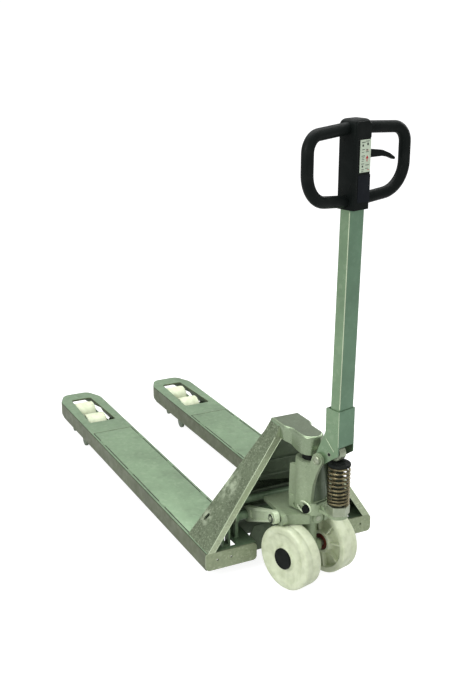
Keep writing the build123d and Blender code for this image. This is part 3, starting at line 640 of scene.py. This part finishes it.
def steering_wheel(sign, word):
    """Nylon wheel: crowned tread with a step line, dished faces, ribs on the inner side."""
    hub = steered(AXLE_U, sign * WHEEL_W, WHEEL_R)
    out = SIDE * sign
    half = WHEEL_HALF
    r = WHEEL_R
    profile = [
        (0.0243, half - 0.001), (0.0255, half), (0.0325, half), (0.0338, half - 0.0010),
        (0.0352, half - 0.0062), (0.0400, half - 0.0072), (0.0520, half - 0.0070), (0.0640, half - 0.0062),
        (0.0690, half - 0.0036), (0.0715, half - 0.0008), (0.0735, half), (r - 0.0055, half),
        (r - 0.0025, half - 0.0009), (r - 0.0007, half - 0.0030), (r, half - 0.0065), (r, 0.0065),
        (r - 0.0011, 0.0050), (r - 0.0011, 0.0030), (r, 0.0014),
        (r, -half + 0.0065), (r - 0.0007, -half + 0.0030), (r - 0.0025, -half + 0.0009), (r - 0.0055, -half),
        (0.0765, -half), (0.0748, -half + 0.0012), (0.0730, -half + 0.0150), (0.0700, -half + 0.0165),
        (0.0390, -half + 0.0165), (0.0352, -half + 0.0150), (0.0338, -half + 0.0012), (0.0325, -half),
        (0.0255, -half), (0.0243, -half + 0.001),
    ]
    meshes = [lathe(profile, hub, out, 96)]
    for k in range(8):
        turn = math.pi / 4 * k + 0.2
        spoke = AHEAD * math.cos(turn) + UP * math.sin(turn)
        wide = out.cross(spoke)
        outline = [(0.033, -0.0022), (0.0745, -0.0022), (0.0745, 0.0022), (0.033, 0.0022)]
        start = hub + out * (-half + 0.0018)
        rib = [start + spoke * a + wide * b for a, b in outline]
        deep = [p + out * 0.017 for p in rib]
        faces = [[0, 1, 2, 3], [7, 6, 5, 4], [0, 4, 5, 1], [1, 5, 6, 2], [2, 6, 7, 3], [3, 7, 4, 0]]
        meshes.append(rounded(from_faces("rib", rib + deep, faces), 0.0009))
    piece(f"steering_wheel_{word}", joined("wheel", meshes), nylon_white, f"wheel_{word}",
          [f"steer_wheel_{word}"])
    seal = [(0.0135, -0.0002), (0.0215, -0.0002), (0.0228, 0.0008), (0.0228, 0.002), (0.0135, 0.002)]
    flipped = [(a, b - half + 0.0012) for a, b in seal]
    piece(f"bearing_seal_{word}", joined("seal", [lathe(flipped, hub, out, 48)]), seal_red, f"wheel_{word}")


def load_roller(sign, word, end, x):
    """Nylon roller with chamfered rims, a hub collar and a recessed bearing."""
    hub = row(x, sign * FORK_Y, ROLLER_R)
    half = ROLLER_HALF
    profile = []
    for way in (1, -1):
        side = [(0.0083, 0.0120), (0.0150, half - 0.0060), (0.0150, half - 0.0048), (0.0165, half - 0.0046),
                (0.0262, half - 0.0046), (0.0275, half - 0.0030), (0.0285, half - 0.0006), (0.0300, half),
                (0.0365, half), (0.0388, half - 0.0012), (0.0398, half - 0.0032), (ROLLER_R, half - 0.0060)]
        profile += [(r, way * a) for r, a in (side if way > 0 else side[::-1])]
    piece(f"tandem_roller_{word}_{end}", joined("roller", [lathe(profile, hub, Vector((0, 1, 0)), 72)]),
          nylon_white, f"roller_{word}_{end}", [f"load_roller_{word}_{end}"])


# ================= pump spring =================

def coil_spring():
    """Wound wire with closed ends; the lower turns lie closer together."""
    wire = 0.0032
    radius = 0.0276
    turns = 10.0
    low, high = SPRING_LOW + wire + 0.0004, SPRING_HIGH - wire - 0.0004
    steps = int(turns * 40)
    points = []
    for k in range(steps + 1):
        t = k / steps
        rise = t + 0.10 * math.sin(math.pi * t) * (t - 1.0)
        ends = min(t, 1 - t) * turns
        if ends < 1.0:
            pad = 0.35 + 0.65 * ends
            rise = rise * pad if t < 0.5 else 1 - (1 - rise) * pad
        turn = 2 * math.pi * turns * t
        points.append(steered(PISTON_U, 0, low + (high - low) * rise)
                      + (AHEAD * math.cos(turn) + SIDE * math.sin(turn)) * radius)
    spring = piece("compression_spring", joined("spring", [tube(points, wire, sides=12)]), spring_wire,
                   "pump", ["pump_spring"])
    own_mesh(spring)


for sign, word in ((-1, "left"), (1, "right")):
    steering_wheel(sign, word)
    for end, way in (("front", -1), ("rear", 1)):
        load_roller(sign, word, end, BOGIE_X + way * ROLLER_GAP / 2)
coil_spring()


# ================= handle =================

LOOP_R = 0.015
LOOP_HALF = 0.170
LOOP_TOP, LOOP_LOW = 1.256, 1.079
LOOP_U, LOOP_END_U = 0.112, 0.128


def handle_loop():
    """Thick moulded grip: two round tubes swept along rounded paths that meet at the housing."""
    meshes = []
    for sign in (-1, 1):
        corners = [steered(LOOP_U, 0, LOOP_TOP), steered(LOOP_END_U, sign * LOOP_HALF, LOOP_TOP - 0.009),
                   steered(LOOP_END_U, sign * LOOP_HALF, LOOP_LOW + 0.017), steered(LOOP_U, 0, LOOP_LOW)]
        path = rounded_path(corners, [0, 0.040, 0.074, 0], steps=18)
        meshes.append(tube(path, LOOP_R, sides=28))
    piece("grip_loop", joined("loop", meshes), black, "drawbar", ["handle_loop"])


def label(front):
    """White film with plain pictograms: bars and arrows, no lettering."""
    low, high, left, right = 1.152, 1.229, -0.012, 0.0255

    def patch(outline, lift):
        return prism(outline, steered(front, 0, 0), SIDE, UP, lift)

    film = [(left, low), (right, low), (right, high), (left, high)]
    piece("label_film", joined("film", [patch(film, 0.0004)]), label_white, "drawbar")

    def bar(x, z, wide, tall):
        return patch([(x, z), (x + wide, z), (x + wide, z + tall), (x, z + tall)], 0.0006)

    def arrow(x, z, size, way):
        head = [(x - size, z), (x + size, z), (x, z + way * size * 1.5)]
        return patch(head if way > 0 else head[::-1], 0.0006)

    dark = [bar(-0.005, 1.213, 0.005, 0.005), bar(0.012, 1.215, 0.005, 0.006),
            bar(-0.006, 1.205, 0.010, 0.0014), bar(-0.006, 1.199, 0.008, 0.0012),
            bar(-0.006, 1.186, 0.009, 0.0012), bar(-0.006, 1.182, 0.009, 0.0012),
            bar(-0.006, 1.178, 0.007, 0.0012), bar(-0.005, 1.164, 0.005, 0.0045),
            bar(-0.006, 1.158, 0.009, 0.0012), bar(-0.006, 1.154, 0.007, 0.0012),
            bar(0.008, 1.160, 0.010, 0.0014), arrow(0.012, 1.206, 0.003, -1)]
    dark += [bar(-0.007, z, wide, 0.0016) for z, wide in ((1.222, 0.013), (1.190, 0.012), (1.1715, 0.010))]
    dark += [bar(0.0075, z, wide, 0.0016) for z, wide in ((1.224, 0.012), (1.199, 0.010), (1.168, 0.013))]
    piece("label_marks", joined("marks", dark), label_ink, "drawbar")
    red = [arrow(0.013, 1.184, 0.0052, 1), bar(0.0115, 1.177, 0.003, 0.008), bar(0.008, 1.203, 0.011, 0.0010),
           bar(0.015, 1.156, 0.006, 0.0016)]
    piece("label_signs", joined("signs", red), label_red, "drawbar")


def housing_details():
    """Cap band, recessed lower panel, side ribs and screws of the handle housing."""
    front = HOUSING_FRONT
    cap = [(-0.0265, 1.232), (0.0265, 1.232), (0.0265, 1.264),
           (0.0185, 1.272), (-0.0185, 1.272), (-0.0265, 1.264)]
    band = prism(cap, steered(front - 0.004, 0, 0), SIDE, UP, 0.0052)
    piece("housing_cap_band", rounded(band, 0.0016, 3), black, "drawbar")
    panel = [(-0.016, 1.080), (0.027, 1.080), (0.027, 1.146), (-0.016, 1.146)]
    plate = prism(panel, steered(front, 0, 0), SIDE, UP, 0.0007)
    piece("housing_lower_panel", rounded(plate, 0.0003), panel_black, "drawbar")
    rib = [steered(front - 0.0022, -0.0232, z) for z in (1.092, 1.12, 1.16, 1.20, 1.234)]
    piece("housing_edge_rib", joined("rib", [tube(rib, 0.0044, sides=14)]), black, "drawbar")
    screws = []
    for u, z in ((0.107, 1.108), (0.130, 1.118), (0.107, 1.226)):
        for way in (-1, 1):
            centre = steered(u, way * 0.029, z)
            screws.append(lathe([(0.0012, 0.0), (0.0015, 0.0009), (0.0034, 0.0010), (0.0040, 0.0004),
                                 (0.0040, -0.001), (0.0012, -0.001)], centre, SIDE * way, 24))
    piece("housing_screws", joined("screws", screws), black_cap, "drawbar")
    label(front + 0.0002)


handle_loop()
housing_details()


# ================= fasteners =================

def fasteners():
    """Bolts, nuts, rings and split pins, each on the body it belongs to."""
    port = steered(0.033, -0.0440, 0.2370)
    bolt = [hexagon(0.0200, 0.0120, port, -SIDE, 0.3), knob(0.0125, 0.0, 0.0025, port, -SIDE)]
    rim = [port + AHEAD * (-0.012 + 0.024 * math.cos(a)) + UP * (0.001 + 0.0155 * math.sin(a))
           for a in (2 * math.pi * k / 48 for k in range(48))]
    piece("pump_port_rim", joined("rim", [tube(rim, 0.0028, sides=10, closed=True)]), arm_casting, "pump")
    piece("pump_drain_bolt", joined("bolt", bolt), black_cap, "pump")
    for sign in (-1, 1):
        word = "left" if sign < 0 else "right"
        out = Vector((0, sign, 0))
        pin = row(PIN_X, sign * 0.1205, PIN_Z)
        nut = [hexagon(0.0150, 0.0045, pin, out, 0.2), knob(0.0040, 0.0, 0.0065, pin, out)]
        # painted shade: a thin dark ring under each yoke pin's nut
        shadow_ring = lathe([(0.0082, -0.0002), (0.0082, 0.0006), (0.0126, 0.0006), (0.0126, -0.0002)],
                       pin, out, 40)
        piece(f"yoke_pin_shadow_ring_{word}", joined("shadow_ring", [shadow_ring]), painted_gap_shade, "rocker")
        piece(f"yoke_pin_nut_{word}", joined("nut", nut), steel, "rocker")
        ring_at = steered(PIVOT_U, sign * 0.0434, PIVOT_Z)
        ring = lathe([(0.0085, 0.0), (0.0085, 0.0012), (0.0100, 0.0020), (0.0112, 0.0012), (0.0112, 0.0)],
                     ring_at, SIDE * sign, 40)
        piece(f"drawbar_pin_ring_{word}", joined("ring", [ring]), steel, "pump")
        split = tube([row(SHAFT_X + 0.003 * k, sign * 0.2015, SHAFT_Z - 0.016 + 0.002 * k) for k in range(9)],
                     0.0014, sides=8)
        piece(f"shaft_split_pin_{word}", joined("split", [split]), steel, "rocker")
        washer = lathe([(0.0143, 0.0), (0.0143, 0.0025), (0.0215, 0.0025), (0.0220, 0.0020), (0.0220, 0.0)],
                       row(SHAFT_X, sign * 0.1576, SHAFT_Z), out, 40)
        piece(f"shaft_washer_{word}", joined("washer", [washer]), steel, "rocker")
    boss = [knob(0.0075, -0.002, 0.0015, row(BOSS_X, 0, 0.201), Vector((1, 0, 0)), 0.0008)]
    piece("yoke_grease_plug", joined("boss", boss), steel, "carrier")


def weld_beads():
    """Fillet welds of the frame: plates to forks, plates to the head and brackets to forks."""
    beads = []

    def bead(points, radius, seed):
        beads.append(weld([row(*p) for p in points], radius, seed))

    for sign in (-1, 1):
        bead([(-0.1345, sign * y, FORK_TOP + 0.0005) for y in (0.262, 0.20, 0.118)], 0.0036, 3)
        bead([(-x, sign * 0.2600, FORK_TOP + 0.0008) for x in (0.006, 0.07, 0.130)], 0.0032, 5)
        bead([(-0.050, sign * 0.0442, FRAME_TOP), (-0.004, sign * 0.0442, FRAME_TOP)], 0.0015, 7)
        for y in (0.1465, 0.1575):
            bead([(x, sign * y, FORK_TOP + 0.0006) for x in (-0.074, -0.050)], 0.0026, 9)
        bead([(-0.0068, sign * y, FORK_TOP - 0.002) for y in (0.122, 0.19, 0.262)], 0.0024, 11)
        for x in (-0.86, -0.60, -0.34):
            for way in (-1, 1):
                seam = sign * FORK_Y + way * SEAM_Y
                bead([(x - 0.022, seam, FORK_TOP), (x + 0.022, seam, FORK_TOP)], 0.0026, 15)
    bead([(-0.0535, y, FRAME_TOP) for y in (-0.038, 0.0, 0.038)], 0.0016, 13)
    piece("frame_welds", joined("welds", beads), sheet, "chassis")


def drawbar_highlights_and_pin_shade():
    """Painted highlights as thin bright lines along the drawbar foot's fold and edge and the tube's corner,
    and painted shade as dark discs in the holes at the roller pin's ends.
    """
    near = -0.0298
    fold = [steered(0.0799, near, 0.4550), steered(0.1099, near, 0.4255)]
    foot = [steered(0.1238, near + 0.0006, z) for z in (0.442, 0.490, 0.5385)]
    corner = [steered(PISTON_U + 0.0153 + 0.02 * (z - 0.440), -0.0258, z) for z in (0.545, 0.80, 1.058)]
    edges = [tube(fold, 0.0008, sides=8), tube(foot, 0.0008, sides=8), tube(corner, 0.0011, sides=8)]
    piece("drawbar_painted_highlights", joined("edges", edges), arm_casting, "drawbar")
    pins = [knob(0.0045, 0.0, 0.0006, steered(0.093, sign * 0.0296, 0.412), SIDE * sign, 0.0002)
            for sign in (-1, 1)]
    piece("roller_pin_hole_shade", joined("pins", pins), black_cap, "drawbar")


def hinge_bosses():
    """Round lugs that hang under a fork's walls at the roller arm's hinge and behind the bogie, in painted
    shade.
    """
    lugs = []
    for sign in (-1, 1):
        for way in (-1, 1):
            for x, z, radius in ((-1.050, 0.0255, 0.0220), (-1.170, 0.0280, 0.0125)):
                centre = row(x, sign * FORK_Y + way * 0.070, z)
                lugs.append(knob(radius, -0.0045, 0.0045, centre, Vector((0, 1, 0)), 0.0012))
    piece("fork_hinge_lugs", joined("lugs", lugs), painted_shade_zinc, "chassis")


def lip_highlights_and_sill():
    """Painted highlights as thin bright lines along the side plates' front lips, and the sill under the front
    plate, in painted shade.
    """
    lines = []
    for sign in (-1, 1):
        for edge in (((0.2655, 0.0855), (0.0580, 0.3975)), ((0.2447, 0.0860), (0.0382, 0.3913))):
            lines.append(tube([row(0.0001, sign * y, z) for y, z in edge], 0.0010, sides=8))
    piece("lip_painted_highlights", joined("edges", lines), arm_casting, "chassis")
    sill = [(-0.1095, 0.042), (0.1095, 0.042), (0.1095, 0.0848), (-0.1095, 0.0848)]
    bar = prism(sill, row(-0.1335, 0, 0), Vector((0, 1, 0)), UP, 0.0050)
    piece("front_sill", rounded(bar, 0.0008), painted_shade_zinc, "chassis")


fasteners()
weld_beads()
lip_highlights_and_sill()
drawbar_highlights_and_pin_shade()
hinge_bosses()


# ================= stage, light and camera =================

def stage():
    floor = from_faces("floor", [Vector((x, y, 0)) for x, y in ((-40, -40), (40, -40), (40, 40), (-40, 40))],
                       [[0, 1, 2, 3]])
    obj = bpy.data.objects.new("floor", floor)
    bpy.context.scene.collection.objects.link(obj)
    paint = bpy.data.materials.new("pale_floor")
    paint.use_nodes = True
    shader = paint.node_tree.nodes["Principled BSDF"]
    shader.inputs["Base Color"].default_value = (0.34, 0.34, 0.34, 1)
    shader.inputs["Roughness"].default_value = 0.9
    shader.inputs["Specular IOR Level"].default_value = 0.1
    shader.inputs["Emission Color"].default_value = (1, 1, 1, 1)
    # white to the camera, but a dimmer bounce under the object
    nodes, links = paint.node_tree.nodes, paint.node_tree.links
    seen = nodes.new("ShaderNodeLightPath")
    glow = nodes.new("ShaderNodeMapRange")
    glow.inputs["To Min"].default_value = 0.38
    glow.inputs["To Max"].default_value = 0.88
    links.new(seen.outputs["Is Camera Ray"], glow.inputs["Value"])
    links.new(glow.outputs["Result"], shader.inputs["Emission Strength"])
    floor.materials.append(paint)


def world():
    """White to the camera; to the object a soft room that is brighter above than at its walls."""
    sky = bpy.data.worlds.new("studio")
    bpy.context.scene.world = sky
    sky.use_nodes = True
    nodes, links = sky.node_tree.nodes, sky.node_tree.links
    nodes.clear()
    out = nodes.new("ShaderNodeOutputWorld")
    place = nodes.new("ShaderNodeTexCoord")
    split = nodes.new("ShaderNodeSeparateXYZ")
    links.new(place.outputs["Generated"], split.inputs["Vector"])
    ramp = nodes.new("ShaderNodeMapRange")
    ramp.inputs["From Min"].default_value = 0.0
    ramp.inputs["From Max"].default_value = 0.9
    ramp.inputs["To Min"].default_value = 0.46
    ramp.inputs["To Max"].default_value = 0.90
    links.new(split.outputs["Z"], ramp.inputs["Value"])
    room = nodes.new("ShaderNodeBackground")
    links.new(ramp.outputs["Result"], room.inputs["Strength"])
    room.inputs["Color"].default_value = (1, 1, 1, 1)
    plain = nodes.new("ShaderNodeBackground")
    plain.inputs["Color"].default_value = (1, 1, 1, 1)
    plain.inputs["Strength"].default_value = 1.05
    seen = nodes.new("ShaderNodeLightPath")
    mix = nodes.new("ShaderNodeMixShader")
    links.new(seen.outputs["Is Camera Ray"], mix.inputs["Fac"])
    links.new(room.outputs["Background"], mix.inputs[1])
    links.new(plain.outputs["Background"], mix.inputs[2])
    links.new(mix.outputs["Shader"], out.inputs["Surface"])


def softbox(name, place, target, size, power):
    data = bpy.data.lights.new(name, "AREA")
    data.shape = "RECTANGLE"
    data.size, data.size_y = size
    data.energy = power
    obj = bpy.data.objects.new(name, data)
    bpy.context.scene.collection.objects.link(obj)
    obj.location = place
    obj.rotation_euler = (target - place).to_track_quat("-Z", "Y").to_euler()


def camera():
    data = bpy.data.cameras.new("camera")
    data.lens = 53.5
    data.sensor_width = 36.0
    data.sensor_fit = "AUTO"
    obj = bpy.data.objects.new("camera", data)
    bpy.context.scene.collection.objects.link(obj)
    place = row(2.3112, -1.3536, 1.5326)
    target = row(-0.3780, 0.0, 0.530)
    obj.location = place
    obj.rotation_euler = (target - place).to_track_quat("-Z", "Y").to_euler()
    bpy.context.scene.camera = obj


stage()
world()
middle = Vector((0.2, 0.0, 0.35))
softbox("key", Vector((1.6, -3.2, 2.6)), middle, (2.4, 1.8), 82.0)
softbox("front", Vector((3.6, 0.6, 1.5)), middle, (1.6, 2.2), 14.0)
softbox("above", Vector((-0.2, 0.2, 3.4)), middle, (3.0, 2.2), 80.0)
softbox("far_side", Vector((-1.0, 3.4, 2.2)), middle, (2.6, 1.6), 45.0)
camera()
bpy.context.scene.view_settings.view_transform = "Standard"
